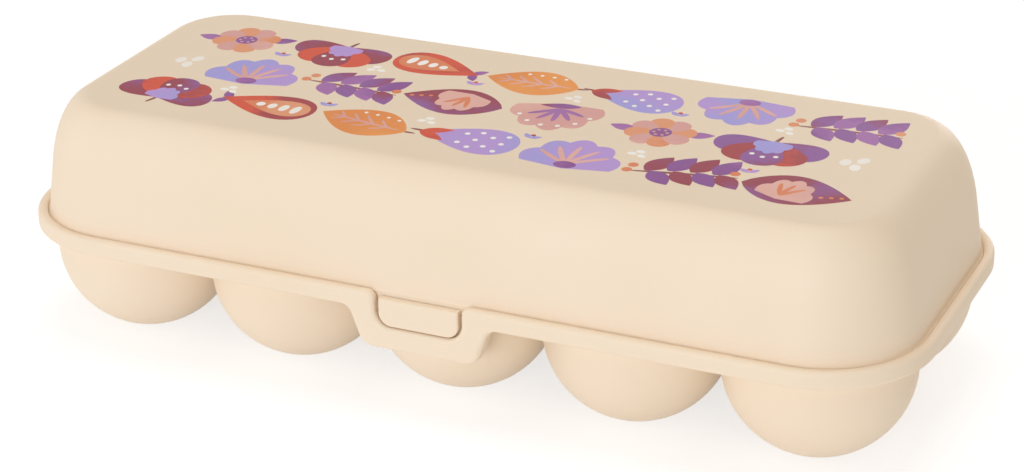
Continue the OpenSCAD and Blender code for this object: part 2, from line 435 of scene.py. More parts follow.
@dataclass(frozen=True)
class PrintInk:
    """Ink of an in-mould label, laid down by offset printing.

    The eye sees a flat film with the sheen of the plastic under it, whose colour drifts from one
    tone to another across a motif, with a dry-brush grain where the two meet.
    """

    name: str
    colour: str
    second_colour: str
    roughness: float = 0.46
    ior: float = 1.5
    sheen: float = 0.35
    # Distance over which the colour drifts
    drift: float = 26 * MM
    # Grain of the brush strokes, drawn twice as coarse as in a fine print, and its scale along X,
    # which draws the strokes out to about three times their width
    brush: float = 0.9 * MM
    brush_stretch: float = 0.35
    # Share of that grain in where the colour turns, and the values between which it turns
    brush_share: float = 0.22
    turn_from: float = 0.53
    turn_to: float = 0.69

    def material(self) -> bpy.types.Material:
        """Build the material.

        Returns:
            The new material.
        """
        material, tree = empty_material(self.name)
        place = add_node(tree, "ShaderNodeTexCoord").outputs["Object"]
        drift = add_node(tree, "ShaderNodeTexNoise", {
            "Vector": place, "Scale": 1 / self.drift, "Detail": 1.0,
        })
        stretched = add_node(tree, "ShaderNodeMapping", {
            "Vector": place, "Scale": (self.brush_stretch, 1.0, 1.0),
        })
        brush = add_node(tree, "ShaderNodeTexNoise", {
            "Vector": stretched.outputs["Vector"], "Scale": 1 / self.brush, "Detail": 4.0,
        })
        rough_edge = add_node(tree, "ShaderNodeMath", {
            0: brush.outputs["Fac"], 1: self.brush_share,
        }, operation="MULTIPLY")
        blend = add_node(tree, "ShaderNodeMath", {
            0: drift.outputs["Fac"], 1: rough_edge.outputs[0],
        }, operation="ADD")
        share = add_node(tree, "ShaderNodeMapRange", {
            "Value": blend.outputs[0], "From Min": self.turn_from, "From Max": self.turn_to,
        })
        colour = add_node(tree, "ShaderNodeMix", {
            "Factor": share.outputs["Result"], 6: linear(self.colour), 7: linear(self.second_colour),
        }, data_type="RGBA")
        shader = add_node(tree, "ShaderNodeBsdfPrincipled", {
            "Base Color": colour.outputs[2], "Roughness": self.roughness, "IOR": self.ior,
            "Specular IOR Level": self.sheen,
        })
        add_node(tree, "ShaderNodeOutputMaterial", {"Surface": shader.outputs["BSDF"]})
        return material


class Ink(Enum):
    """The inks of the roof's print."""

    PLUM = PrintInk("ink_plum", "#864390", "#a566aa")
    ORCHID = PrintInk("ink_orchid", "#bb98dc", "#a79fe2")
    ORANGE = PrintInk("ink_orange", "#f09a40", "#e78a36")
    BRICK = PrintInk("ink_brick", "#d9481a", "#a32a30")
    MAROON = PrintInk("ink_maroon", "#94263e", "#8c5099")
    CORAL = PrintInk("ink_coral", "#e0804e", "#e69a6e")
    ROSE = PrintInk("ink_rose", "#e9b3a6", "#dda29b")
    BROWN = PrintInk("ink_brown", "#873c34", "#9c5040")
    WHITE = PrintInk("ink_white", "#fefcf8", "#faf4ec")


# Plan of the keeper


@dataclass(frozen=True)
class Plan:
    """The plan that rim, deck and lid share: all run round the centres of the corner cups."""

    half_x: float
    half_y: float
    middle_y: float
    pitch: float
    columns: int = 5
    # Steps of a quarter turn at a corner, and of the straight stretches between
    turn_steps: int = 28
    long_steps: int = 10
    short_steps: int = 4

    @classmethod
    def from_frame(cls) -> "Plan":
        """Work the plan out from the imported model.

        Returns:
            The plan.
        """
        cup_low, cup_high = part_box("egg_cup_front_2")
        rim_low, rim_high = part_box("rim_band")
        pitch = cup_high.x - cup_low.x
        return cls(
            half_x=(cls.columns - 1) * pitch / 2,
            half_y=pitch / 2,
            middle_y=(rim_low.y + rim_high.y) / 2,
            pitch=pitch,
        )

    def cup_x(self, column: int) -> float:
        """Place along X of a column of cups, counted from 1 at the left."""
        return (column - (self.columns + 1) / 2) * self.pitch

    def sweep(self, name: str, profile: Sequence[Point], closed: bool, gap: float = 0.0) -> Piece:
        """Sweep a profile round the keeper.

        Args:
            name: the new piece's name.
            profile: points of distance from the corner cup's centre, and height.
            closed: whether the profile is a ring; else it starts and ends at distance zero, and
                the flat middles are filled.
            gap: half the stretch that is left open in front and behind.

        Returns:
            The swept piece, drawn round the middle of the cups.
        """
        line = [Vector((self.half_x + reach, self.half_y, height)) for reach, height in profile]
        piece = draw_line(name, line)
        if closed:
            close_line()
        bpy.ops.mesh.select_all(action="SELECT")
        bpy.ops.mesh.spin(
            steps=self.turn_steps, angle=-QUARTER, center=(self.half_x, self.half_y, 0), axis=(0, 0, 1),
        )
        select_vertices(lambda p: abs(p.x - self.half_x) < NEAR and p.y > self.half_y - NEAR)
        extrude((gap - self.half_x, 0, 0), self.long_steps)
        select_vertices(lambda p: abs(p.y - self.half_y) < NEAR and p.x > self.half_x - NEAR)
        extrude((0, -self.half_y, 0), self.short_steps)
        if not closed:
            select_vertices(lambda p: abs(p.y - self.half_y) < NEAR and p.x < self.half_x + NEAR)
            extrude((0, -self.half_y, 0), self.short_steps)
        clean(piece)
        apply_modifier(piece, "MIRROR", use_axis=(True, True, False), merge_threshold=NEAR)
        return piece

    def settle(self, piece: Piece) -> Piece:
        """Move what is drawn round the middle of the cups to its place in the model."""
        shift(piece, (0, self.middle_y, 0))
        return piece


def ring_profile(profile: Sequence[Point], name: str, turns: int) -> Piece:
    """Spin a profile all the way round the Z axis into a closed solid.

    Args:
        profile: points of radius and height, which start and end on the axis.
        name: the new piece's name.
        turns: the number of steps round the axis.

    Returns:
        The solid.
    """
    piece = draw_line(name, [Vector((radius, 0, height)) for radius, height in profile])
    bpy.ops.mesh.select_all(action="SELECT")
    bpy.ops.mesh.spin(steps=turns, angle=4 * QUARTER, center=(0, 0, 0), axis=(0, 0, 1))
    clean(piece)
    return piece


class Row(Enum):
    """The two rows of cups, and the side of the middle that each is on."""

    FRONT = -1
    REAR = 1


@dataclass(frozen=True)
class EggCups:
    """Ten round cups, each with a flat foot, that hang from the deck."""

    plan: Plan
    wall: float = 1.8 * MM
    # How much of the ball is cut off for the foot that the tray stands on
    foot_cut: float = 0.8 * MM
    # Rounding where a cup's outside runs into the deck
    root_round: float = 1.3 * MM
    root_steps: int = 5
    ball_steps: int = 22
    turns: int = 96

    def master(self) -> Piece:
        """Model one whole cup about the Z axis, as a profile spun round.

        Returns:
            The cup.
        """
        low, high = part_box("egg_cup_front_1")
        deck_low = high.z
        outer = -self.plan.half_x - low.x
        inner = outer - self.wall
        middle = low.z + outer - self.foot_cut
        foot_deg = -math.degrees(math.acos(math.sqrt(1 - (middle / outer) ** 2)))
        floor_deg = -math.degrees(math.asin((middle - self.wall) / inner))
        root = (outer + self.root_round, deck_low - self.root_round)
        profile = [(0.0, 0.0)]
        profile += arc((0, middle), outer, foot_deg, 0, self.ball_steps)
        profile += arc(root, self.root_round, 180, 90, self.root_steps)
        profile += [(inner, deck_low)]
        profile += arc((0, middle), inner, 0, floor_deg, self.ball_steps)
        profile += [(0.0, self.wall)]
        return ring_profile(profile, "egg_cup", self.turns)

    def build(self, finish: bpy.types.Material) -> list[Piece]:
        """Copy the cup to its ten places and cut each where it meets its neighbours.

        Args:
            finish: the tray's material.

        Returns:
            The ten cups.
        """
        master = self.master()
        cups = []
        for row in Row:
            for column in range(1, self.plan.columns + 1):
                x = self.plan.cup_x(column)
                y = row.value * self.plan.half_y + self.plan.middle_y
                node = f"egg_cup_{row.name.lower()}_{column}"
                cup = copy_of(master, f"{node}_moulding", Matrix.Translation((x, y, 0)))
                cuts = [((x, self.plan.middle_y, 0), (0, -row.value, 0))]
                if column > 1:
                    cuts.append(((x - self.plan.pitch / 2, y, 0), (-1, 0, 0)))
                if column < self.plan.columns:
                    cuts.append(((x + self.plan.pitch / 2, y, 0), (1, 0, 0)))
                for place, outwards in cuts:
                    edit(cup)
                    bpy.ops.mesh.bisect(plane_co=place, plane_no=outwards, use_fill=True, clear_outer=True)
                leave_edit_mode()
                smooth(cup)
                cup.data.materials.append(finish)
                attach(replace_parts(cup, node), "tray")
                cups.append(cup)
        bpy.data.objects.remove(master)
        return cups


@dataclass(frozen=True)
class Tray:
    """The deck with its ten mouths, and the rim with the tongue that takes the lid's tab."""

    plan: Plan
    rim_wall: float = 3.0 * MM
    # Rounding of the rim's and the tongue's edges, and of the rim's inner top edge
    edge_round: float = 1.4 * MM
    inner_round: float = 1.1 * MM
    edge_steps: int = 6
    mouth_round: float = 0.7 * MM
    mouth_steps: int = 5
    # The tab's pocket
    pocket_w: float = 25.2 * MM
    pocket_floor_drop: float = 9.75 * MM
    lip_r: float = 2.5 * MM
    # The tongue in front view
    tongue_top_w: float = 41.0 * MM
    tongue_end_w: float = 33.0 * MM
    tongue_corner_r: float = 4.5 * MM
    tongue_root_r: float = 3.0 * MM
    corner_steps: int = 10
    # The tongue's plate meets the swept rim this far beside the tongue, and is drawn this much
    # longer before it is cut there
    seam_gap: float = 1.5 * MM
    seam_spare: float = 4 * MM
    # Cuts across the straight stretch of rim that is bridged behind
    bridge_cuts: int = 3

    def deck(self, finish: bpy.types.Material) -> Piece:
        """Model the deck and cut a rounded mouth over each cup.

        Args:
            finish: the tray's material.

        Returns:
            The deck.
        """
        low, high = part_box("egg_deck")
        cup_low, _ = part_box("egg_cup_front_1")
        reach = high.x - self.plan.half_x
        mouth_r = -self.plan.half_x - cup_low.x - EggCups.wall
        section = [(0, low.z), (reach, low.z), (reach, high.z), (0, high.z)]
        deck = self.plan.sweep("egg_deck_moulding", section, False)
        clean(deck)
        past = MM
        lip = (mouth_r + self.mouth_round, high.z - self.mouth_round)
        profile = [(0.0, low.z - past), (mouth_r, low.z - past)]
        profile += arc(lip, self.mouth_round, 180, 90, self.mouth_steps)
        profile += [(mouth_r + self.mouth_round, high.z + past), (0.0, high.z + past)]
        cutter = ring_profile(profile, "mouth_cutter", EggCups.turns)
        places = [
            Matrix.Translation((self.plan.cup_x(column), row.value * self.plan.half_y, 0))
            for row in Row for column in range(1, self.plan.columns + 1)
        ]
        cutters = join([copy_of(cutter, "mouth_cut", place) for place in places], "mouth_cuts")
        apply_modifier(deck, "BOOLEAN", operation="DIFFERENCE", solver="EXACT", object=cutters)
        for tool in (cutter, cutters):
            bpy.data.objects.remove(tool)
        clean(deck)
        self.plan.settle(deck)
        smooth(deck)
        deck.data.materials.append(finish)
        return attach(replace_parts(deck, "egg_deck"), "tray")

    def rim_profile(self, reach: float, low: float, high: float) -> list[Point]:
        """Draw the section of the rim, square inside and rounded outside.

        Args:
            reach: distance of its outer face from the corner cup's centre.
            low: height of its underside.
            high: height of its top.

        Returns:
            Points of distance and height.
        """
        inner = reach - self.rim_wall
        middle = reach - self.edge_round
        below = arc((middle, low + self.edge_round), self.edge_round, -90, 0, self.edge_steps)
        above = arc((middle, high - self.edge_round), self.edge_round, 0, 90, self.edge_steps)
        return [(inner, low), *below, *above, (inner, high)]

    def tongue_plate(self, face: float, low: float, high: float, end: float) -> Piece:
        """Model the front of the rim with the tongue, as a plate round the tab's pocket.

        Args:
            face: distance of the plate's face in front of the middle.
            low: height of the rim's underside.
            high: height of the rim's top.
            end: height of the tongue's lower end.

        Returns:
            The plate, whose two ends reach past the place where they meet the rim.
        """
        steps = self.corner_steps
        half = self.pocket_w / 2
        floor = high - self.pocket_floor_drop
        far = self.seam_x + self.seam_spare
        top_w, end_w = self.tongue_top_w / 2, self.tongue_end_w / 2
        left_lip = corner_arc((-far, high), (-half, high), (-half, floor), self.lip_r, steps)
        # The pocket's lower corners start level with the rim's underside
        left_floor = corner_arc((-half, high), (-half, floor), (half, floor), low - floor, steps)
        left_root = corner_arc((-end_w, end), (-top_w, low), (-far, low), self.tongue_root_r, steps)
        left_end = corner_arc((end_w, end), (-end_w, end), (-top_w, low), self.tongue_corner_r, steps)
        half_outline = [(-far, low), (-far, high), *left_lip, *left_floor]
        tongue_side = [*left_end, *left_root]
        outline = half_outline + [(-x, z) for x, z in reversed(half_outline)]
        outline += [(-x, z) for x, z in reversed(tongue_side)] + tongue_side
        back = self.rim_wall - face
        plate = draw_line("tongue_plate", [Vector((x, back, z)) for x, z in outline])
        close_line()
        self.fill_front(left_floor[0], left_root[0])
        bpy.ops.mesh.select_all(action="SELECT")
        extrude((0, self.edge_round - self.rim_wall, 0))
        bpy.ops.mesh.select_all(action="SELECT")
        bpy.ops.mesh.normals_make_consistent(inside=False)
        select_faces(lambda middle, normal: normal.y < -SQUARE_ON)
        round_edge(self.edge_round, self.edge_steps)
        self.close_pocket(back, low, floor, half)
        return plate

    def fill_front(self, bend: Point, root: Point) -> None:
        """Fill the plate's outline with three faces: a rim stub on each side and the tongue below.

        Args:
            bend: where the pocket's left side bends into its floor, along X and Z.
            root: where the tongue's left side bends into the rim, along X and Z.
        """
        half = -bend[0]

        def at(p: Vector, side: int, spot: Point) -> bool:
            """Whether a vertex lies at a spot, seen on one side or mirrored on the other."""
            return abs(side * p.x + spot[0]) < NEAR and abs(p.z - spot[1]) < NEAR

        for side in (-1, 1):
            select_vertices(lambda p: at(p, side, bend) or at(p, side, root))
            bpy.ops.mesh.edge_face_add()
            select_vertices(lambda p: p.z > root[1] - NEAR and side * p.x > half - NEAR)
            bpy.ops.mesh.edge_face_add()
        select_vertices(lambda p: p.z < root[1] + NEAR or p.z < bend[1] + NEAR and abs(p.x) < half + NEAR)
        bpy.ops.mesh.edge_face_add()

    def close_pocket(self, back: float, low: float, floor: float, half: float) -> None:
        """Close the pocket with a wall behind it, which also thickens the tongue.

        Args:
            back: place of the plate's back along Y.
            low: height of the rim's underside.
            floor: height of the pocket's floor.
            half: half the pocket's width.
        """
        def on_pocket(p: Vector) -> bool:
            """Whether a vertex lies on the pocket's outline at the plate's back."""
            return abs(p.y - back) < NEAR and abs(p.x) < half + NEAR and floor - NEAR < p.z < low + NEAR

        select_vertices(on_pocket)
        bpy.ops.mesh.edge_face_add()
        select_faces(lambda middle, normal: abs(middle.y - back) < NEAR and middle.z < low - NEAR)
        extrude((0, self.back_wall, 0))
        select_vertices(on_pocket)
        bpy.ops.mesh.edge_face_add()

    @property
    def seam_x(self) -> float:
        """Where the tongue's plate meets the swept rim."""
        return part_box("latch_tongue")[1].x + self.seam_gap

    @property
    def back_wall(self) -> float:
        """Wall of the tongue behind the pocket."""
        low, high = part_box("latch_tongue")
        return high.y - low.y - self.rim_wall

    def rim(self, finish: bpy.types.Material) -> Piece:
        """Model the rim all round, with the tongue at its front, as one moulding.

        Args:
            finish: the tray's material.

        Returns:
            The rim and tongue.
        """
        low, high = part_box("rim_band")
        reach = high.x - self.plan.half_x
        face = self.plan.half_y + reach
        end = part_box("latch_tongue")[0].z
        profile = self.rim_profile(reach, low.z, high.z)
        ring = self.plan.sweep("rim_ring", profile, True, self.seam_x)
        edit(ring)
        select_vertices(lambda p: abs(abs(p.x) - self.seam_x) < NEAR and p.y > 0)
        bpy.ops.mesh.bridge_edge_loops(number_cuts=self.bridge_cuts)
        plate = self.tongue_plate(face, low.z, high.z, end)
        for side in (-1, 1):
            edit(plate)
            bpy.ops.mesh.bisect(plane_co=(side * self.seam_x, 0, 0), plane_no=(side, 0, 0), clear_outer=True)
        rim = join([ring, plate], "rim_and_tongue")
        clean(rim)
        self.soften_inside(rim, reach - self.rim_wall, high.z)
        self.plan.settle(rim)
        smooth(rim)
        rim.data.materials.append(finish)
        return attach(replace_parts(rim, "rim_band", "latch_tongue"), "tray")

    def soften_inside(self, rim: Piece, inner: float, high: float) -> None:
        """Round the rim's inner top edge, next to the gap that the lid's foot leaves.

        Args:
            rim: the rim, still drawn round the middle of the cups.
            inner: distance of its inner face from the corner cup's centre.
            high: height of its top.
        """
        notch = self.pocket_w / 2 + self.lip_r

        def on_edge(p: Vector) -> bool:
            """Tell whether a vertex lies on the rim's inner top edge.

            Args:
                p: the vertex's place.

            Returns:
                Whether it does.
            """
            past = Vector((max(abs(p.x) - self.plan.half_x, 0), max(abs(p.y) - self.plan.half_y, 0)))
            # The rounding runs on round the notch's lips
            end = high - self.lip_r if abs(p.x) < notch + NEAR and p.y < 0 else high
            return p.z > end - NEAR and abs(past.length - inner) < 2 * NEAR

        edit(rim)
        select_vertices(on_edge)
        bpy.ops.mesh.bevel(offset=self.inner_round, segments=self.edge_steps, affect="EDGES")
        clean(rim)


@dataclass(frozen=True)
class Lid:
    """The lid: a drafted wall, a long rounded shoulder and a flat roof, with the tab in front."""

    plan: Plan
    wall: float = 1.8 * MM
    draft_deg: float = 8.0
    shoulder_w: float = 12.0 * MM
    shoulder_h: float = 27.0 * MM
    # Steps of the drafted wall, and of the shoulder above it
    wall_steps: int = 4
    shoulder_steps: int = 30
    foot_round: float = 0.4 * MM
    foot_steps: int = 4
    # How far the foot flares out towards the rim, over what height, and how much of that height
    # lies above the rim's top
    flare_w: float = 0.45 * MM
    flare_h: float = 1.45 * MM
    flare_rise: float = 0.7 * MM
    flare_steps: int = 8
    # The roof lies this much low, so that the print stays inside the lid's real height
    print_room: float = 0.1 * MM
    # The tab
    tab_corner_r: float = 3.6 * MM
    tab_corner_steps: int = 10
    tab_round: float = 0.6 * MM
    tab_round_steps: int = 4
    tab_t: float = 2.1 * MM
    web_h: float = 1.6 * MM
    # Depth of the groove between the tab's plate and the lid's wall, above the web
    groove: float = 0.7 * MM
    # How far the tab's web and the hinges' arms reach into the lid's wall
    sink: float = 0.5 * MM

    @property
    def roof_z(self) -> float:
        """Height of the roof under its print."""
        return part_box("lid_shell")[1].z - self.print_room

    def side(self, depth: float) -> list[Point]:
        """Points of the lid's side from its foot to the edge of its roof.

        Args:
            depth: how far inside the lid's skin the line runs.

        Returns:
            Points of distance from the corner cup's centre, and height.
        """
        low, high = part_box("lid_shell")
        bend_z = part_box("rim_band")[1].z
        foot_r = high.x - self.plan.half_x
        slope = math.tan(math.radians(self.draft_deg))
        shoulder_z = high.z - self.shoulder_h
        start = math.atan(slope * self.shoulder_h / self.shoulder_w)
        top_z = shoulder_z + self.shoulder_h * math.sin(start)
        top_r = foot_r - (top_z - bend_z) * slope
        roof_r = top_r - self.shoulder_w * math.cos(start)
        line = [(foot_r - depth, low.z), (foot_r - depth, bend_z)]
        for step in range(1, self.wall_steps):
            share = step / self.wall_steps
            line.append((foot_r - depth + (top_r - foot_r) * share, bend_z + (top_z - bend_z) * share))
        width, height = self.shoulder_w - depth, self.shoulder_h - self.print_room - depth
        for step in range(self.shoulder_steps + 1):
            angle = start + (QUARTER - start) * step / self.shoulder_steps
            line.append((roof_r + width * math.cos(angle), shoulder_z + height * math.sin(angle)))
        return line

    def shell(self, finish: bpy.types.Material) -> Piece:
        """Model the lid's shell as one even wall.

        Args:
            finish: the lid's material.

        Returns:
            The shell.
        """
        outside, inside = self.side(0), self.side(self.wall)
        (foot_r, foot_z), (_, bend_z) = outside[:2]
        inner_r, flare_r = inside[0][0], foot_r + self.flare_w
        soft = self.foot_round
        foot = arc((inner_r + soft, foot_z + soft), soft, 180, 270, self.foot_steps)
        foot += arc((flare_r - soft, foot_z + soft), soft, 270, 360, self.foot_steps)
        # A hollow in which the side runs out towards the rim, and nearly closes the gap
        top_r = foot_r - self.flare_rise * math.tan(math.radians(self.draft_deg))
        for step in range(self.flare_steps + 1):
            turn = QUARTER * step / self.flare_steps
            out = flare_r - (flare_r - top_r) * math.sin(turn)
            foot.append((out, bend_z + self.flare_rise - self.flare_h * math.cos(turn)))
        roof, ceiling = (0.0, outside[-1][1]), (0.0, inside[-1][1])
        profile = [ceiling, *reversed(inside[1:]), *foot, *outside[2:], roof]
        shell = self.plan.sweep("lid_shell_moulding", profile, False)
        clean(shell)
        self.plan.settle(shell)
        smooth(shell)
        shell.data.materials.append(finish)
        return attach(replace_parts(shell, "lid_shell"), "lid")

    def tab(self, finish: bpy.types.Material) -> Piece:
        """Model the tab with the web that joins it to the lid's foot.

        Args:
            finish: the lid's material.

        Returns:
            The tab.
        """
        low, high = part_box("latch_tab")
        half = (high.x - low.x) / 2
        levels = (high.z - self.groove, high.z - self.web_h)
        left = corner_arc(
            (-half, high.z), (-half, low.z), (half, low.z), self.tab_corner_r, self.tab_corner_steps,
        )
        side = [(-half, high.z), *[(-half, level) for level in levels], *left]
        outline = side + [(-x, z) for x, z in reversed(side)]
        back = low.y + self.tab_t
        tab = draw_line("latch_tab_moulding", [Vector((x, back, z)) for x, z in outline])
        close_line()
        for level in levels:
            select_vertices(lambda p: abs(p.z - level) < NEAR)
            bpy.ops.mesh.edge_face_add()
        for top, end in zip((high.z, *levels), (*levels, low.z)):
            select_vertices(lambda p: end - NEAR < p.z < top + NEAR)
            bpy.ops.mesh.edge_face_add()
        bpy.ops.mesh.select_all(action="SELECT")
        extrude((0, self.tab_round - self.tab_t, 0))
        bpy.ops.mesh.select_all(action="SELECT")
        bpy.ops.mesh.normals_make_consistent(inside=False)
        select_faces(lambda middle, normal: normal.y < -SQUARE_ON)
        round_edge(self.tab_round, self.tab_round_steps)
        select_faces(lambda middle, normal: abs(middle.y - back) < NEAR and levels[1] < middle.z < levels[0])
        extrude((0, high.y - back + self.sink, 0))
        clean(tab)
        smooth(tab)
        tab.data.materials.append(finish)
        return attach(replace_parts(tab, "latch_tab"), "lid")


class Side(Enum):
    """The two hinges, and the side of the middle that each is on."""

    LEFT = -1
    RIGHT = 1


@dataclass(frozen=True)
class SnapHinges:
    """Two snap hinges: ears with an axle on the tray, and a clip on an arm from the lid."""

    plan: Plan
    axle_r: float = 1.5 * MM
    bore_r: float = 1.55 * MM
    clip_wall: float = 1.6 * MM
    mouth_deg: float = 90.0
    arm_t: float = 2.2 * MM
    arm_gap: float = 0.4 * MM
    ear_t: float = 2.4 * MM
    # Rounding of a plate's edges, where their angle is over this one
    soft: float = 0.3 * MM
    soft_steps: int = 3
    soft_over_deg: float = 40.0
    # How far a bracket's foot and an axle's ends reach into what carries them
    sink: float = 0.6 * MM
    steps: int = 24

    @property
    def axis(self) -> Point:
        """Place of the hinge axis along Y and Z."""
        joint = frame["joints"][0]
        return joint["pos_m"][1], joint["pos_m"][2]

    def plate(self, name: str, outline: Sequence[Point], x: float, width: float) -> Piece:
        """Extrude a side view along X and soften its edges.

        Args:
            name: the new piece's name.
            outline: points of Y and Z.
            x: the middle of the plate.
            width: its width.

        Returns:
            The plate.
        """
        piece = draw_line(name, [Vector((x - width / 2, y, z)) for y, z in outline])
        close_line()
        bpy.ops.mesh.edge_face_add()
        extrude((width, 0, 0))
        clean(piece)
        apply_modifier(
            piece, "BEVEL", width=self.soft, segments=self.soft_steps,
            limit_method="ANGLE", angle_limit=math.radians(self.soft_over_deg),
        )
        return piece

    def tangent(self, point: Point, radius: float, side: int) -> float:
        """Find where a line from a point touches a circle about the hinge axis.

        Args:
            point: the point, along Y and Z.
            radius: the circle's radius.
            side: 1 for the touch on the counterclockwise side, and -1 for the other.

        Returns:
            The angle of that place about the axis, in degrees.
        """
        away = Vector(point) - Vector(self.axis)
        angle = math.atan2(away.y, away.x) + side * math.acos(radius / away.length)
        return math.degrees(angle)

    def clip(self, side: Side, finish: bpy.types.Material) -> Piece:
        """Model one clip: an arm from the lid over the rim, ending in an open ring.

        Args:
            side: which hinge it is.
            finish: the lid's material.

        Returns:
            The clip.
        """
        node = f"hinge_clip_{side.name.lower()}"
        low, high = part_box(node)
        outer = self.bore_r + self.clip_wall
        axis_y, axis_z = self.axis
        arm_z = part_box("rim_band")[1].z + self.arm_gap
        root_y = low.y - Lid.sink
        meets = 180 - math.degrees(math.asin((arm_z - axis_z) / outer))
        touches = self.tangent((root_y, arm_z + self.arm_t), outer, -1)
        first, last = 270 - self.mouth_deg / 2, 270 + self.mouth_deg / 2
        outline = [(root_y, arm_z)]
        outline += arc(self.axis, outer, meets, first, self.steps)
        outline += arc(self.axis, self.bore_r, first, last - 360, 2 * self.steps)
        outline += arc(self.axis, outer, last - 360, touches, self.steps)
        outline += [(root_y, arm_z + self.arm_t)]
        clip = self.plate(f"{node}_moulding", outline, (low.x + high.x) / 2, high.x - low.x)
        clean(clip)
        smooth(clip)
        clip.data.materials.append(finish)
        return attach(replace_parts(clip, node), "lid")

    def bracket(self, side: Side, finish: bpy.types.Material) -> Piece:
        """Model one bracket: two ears on the back of the rim, with the axle between them.

        Args:
            side: which hinge it is.
            finish: the tray's material.

        Returns:
            The bracket.
        """
        node = f"hinge_bracket_{side.name.lower()}"
        low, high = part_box(node)
        ear_r = high.y - self.axis[0]
        foot = (low.y, low.z)
        touches = self.tangent(foot, ear_r, 1)
        outline = [(low.y - self.sink, low.z), foot]
        outline += arc(self.axis, ear_r, touches, 180, self.steps)
        outline += [(low.y - self.sink, self.axis[1])]
        ears = [
            self.plate("ear", outline, x, self.ear_t)
            for x in (low.x + self.ear_t / 2, high.x - self.ear_t / 2)
        ]
        ends = (low.x + self.ear_t - self.sink, high.x - self.ear_t + self.sink)
        leave_edit_mode()
        bpy.ops.mesh.primitive_circle_add(vertices=2 * self.steps, radius=self.axle_r, fill_type="NGON")
        axle = bpy.context.object
        edit(axle)
        bpy.ops.transform.rotate(value=QUARTER, orient_axis="Y", center_override=(0, 0, 0))
        bpy.ops.transform.translate(value=(ends[0], *self.axis))
        extrude((ends[1] - ends[0], 0, 0))
        clean(axle)
        bracket = ears[0]
        for part in (ears[1], axle):
            apply_modifier(bracket, "BOOLEAN", operation="UNION", solver="EXACT", object=part)
            bpy.data.objects.remove(part)
        bracket.name = bracket.data.name = f"{node}_moulding"
        clean(bracket)
        smooth(bracket)
        bracket.data.materials.append(finish)
        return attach(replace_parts(bracket, node), "tray")


# The print: a generic garden pattern of leaves, blossoms, fans and pods


class Stamp(Enum):
    """The flat shapes that the print's motifs are put together from."""

    DISC = "disc"
    DROP = "drop"
    LEAF = "leaf"
    FAN = "fan"
    STROKE = "stroke"


@dataclass(frozen=True)
class Mark:
    """One stamped shape of a motif: its ink, place, turn and size, in millimetres and degrees."""

    stamp: Stamp
    ink: Ink
    x: float
    y: float
    turn: float
    length: float
    width: float


def stamp_outline(stamp: Stamp) -> list[Point]:
    """Outline of a stamp, one unit long along X from the origin and one unit wide.

    Args:
        stamp: which shape.

    Returns:
        Its points, counterclockwise.
    """
    if stamp is Stamp.DISC:
        return [(0.5 + x, y) for x, y in arc((0, 0), 0.5, 0, 351, 39)]
    if stamp is Stamp.DROP:
        turns = [2 * math.pi * i / 40 for i in range(40)]
        return [(0.5 - 0.5 * math.cos(t), -0.62 * math.sin(t) * math.sin(t / 2) ** 1.2) for t in turns]
    if stamp is Stamp.LEAF:
        shares = [i / 20 for i in range(21)]
        lower = [(s, -0.5 * math.sin(math.pi * s ** 0.85) ** 0.9) for s in shares]
        upper = [(s, 0.5 * math.sin(math.pi * s ** 0.85) ** 0.9) for s in shares[1:-1]]
        return lower + upper[::-1]
    if stamp is Stamp.FAN:
        lobes = 5
        turns = [math.pi * i / 50 for i in range(51)]
        reach = [1 - 0.13 * (1 - abs(math.sin(lobes * t))) for t in turns]
        return [(r * math.sin(t), -0.5 * r * math.cos(t)) for r, t in zip(reach, turns)] + [(-0.12, 0.0)]
    shares = [i / 12 for i in range(13)]
    bow = [0.16 * math.sin(math.pi * s) for s in shares]
    half = [0.5 * (0.25 + math.sin(math.pi * s) ** 0.5 * 0.75) for s in shares]
    lower = [(s, b - h) for s, b, h in zip(shares, bow, half)]
    upper = [(s, b + h) for s, b, h in zip(shares, bow, half)]
    return lower + upper[::-1]


def dot(ink: Ink, x: float, y: float, size: float) -> Mark:
    """A round dot about its middle."""
    return Mark(Stamp.DISC, ink, x - size / 2, y, 0, size, size)


def broad_leaf() -> list[Mark]:
    """Draw a broad leaf with pale veins and a row of dots.

    Returns:
        Its marks, lowest first.
    """
    marks = [Mark(Stamp.STROKE, Ink.BROWN, -17.5, -0.6, 6, 6.0, 1.1)]
    marks.append(Mark(Stamp.LEAF, Ink.ORANGE, -14.5, 0, 0, 30, 19))
    marks.append(Mark(Stamp.STROKE, Ink.ROSE, -12, 0, 0, 24, 1.1))
    for i in range(4):
        for turn in (40, -40):
            marks.append(Mark(Stamp.STROKE, Ink.ROSE, -8 + 5 * i, 0, turn, 7.0 - 1.2 * abs(i - 1), 0.9))
    marks += [dot(Ink.WHITE, -8 + 4 * i, -6.2 + 0.12 * (i - 1.5) ** 2, 1.2) for i in range(4)]
    return marks


def poppy() -> list[Mark]:
    """Draw a blossom of broad petals with a lilac heart, on a short stem.

    Returns:
        Its marks, lowest first.
    """
    marks = [Mark(Stamp.STROKE, Ink.BROWN, 0, -4, -96, 7.0, 1.2)]
    petals = ((158, Ink.MAROON), (22, Ink.MAROON), (123, Ink.BRICK), (57, Ink.BRICK), (90, Ink.MAROON))
    marks += [Mark(Stamp.DROP, ink, 0, -6.5, turn, 17, 12.5) for turn, ink in petals]
    marks.append(Mark(Stamp.FAN, Ink.ORCHID, 0, -6.0, 90, 8, 11.5))
    marks += [dot(Ink.WHITE, x, 4.5 - abs(x) * 0.35, 1.5) for x in (-3.4, 0, 3.4)]
    return marks


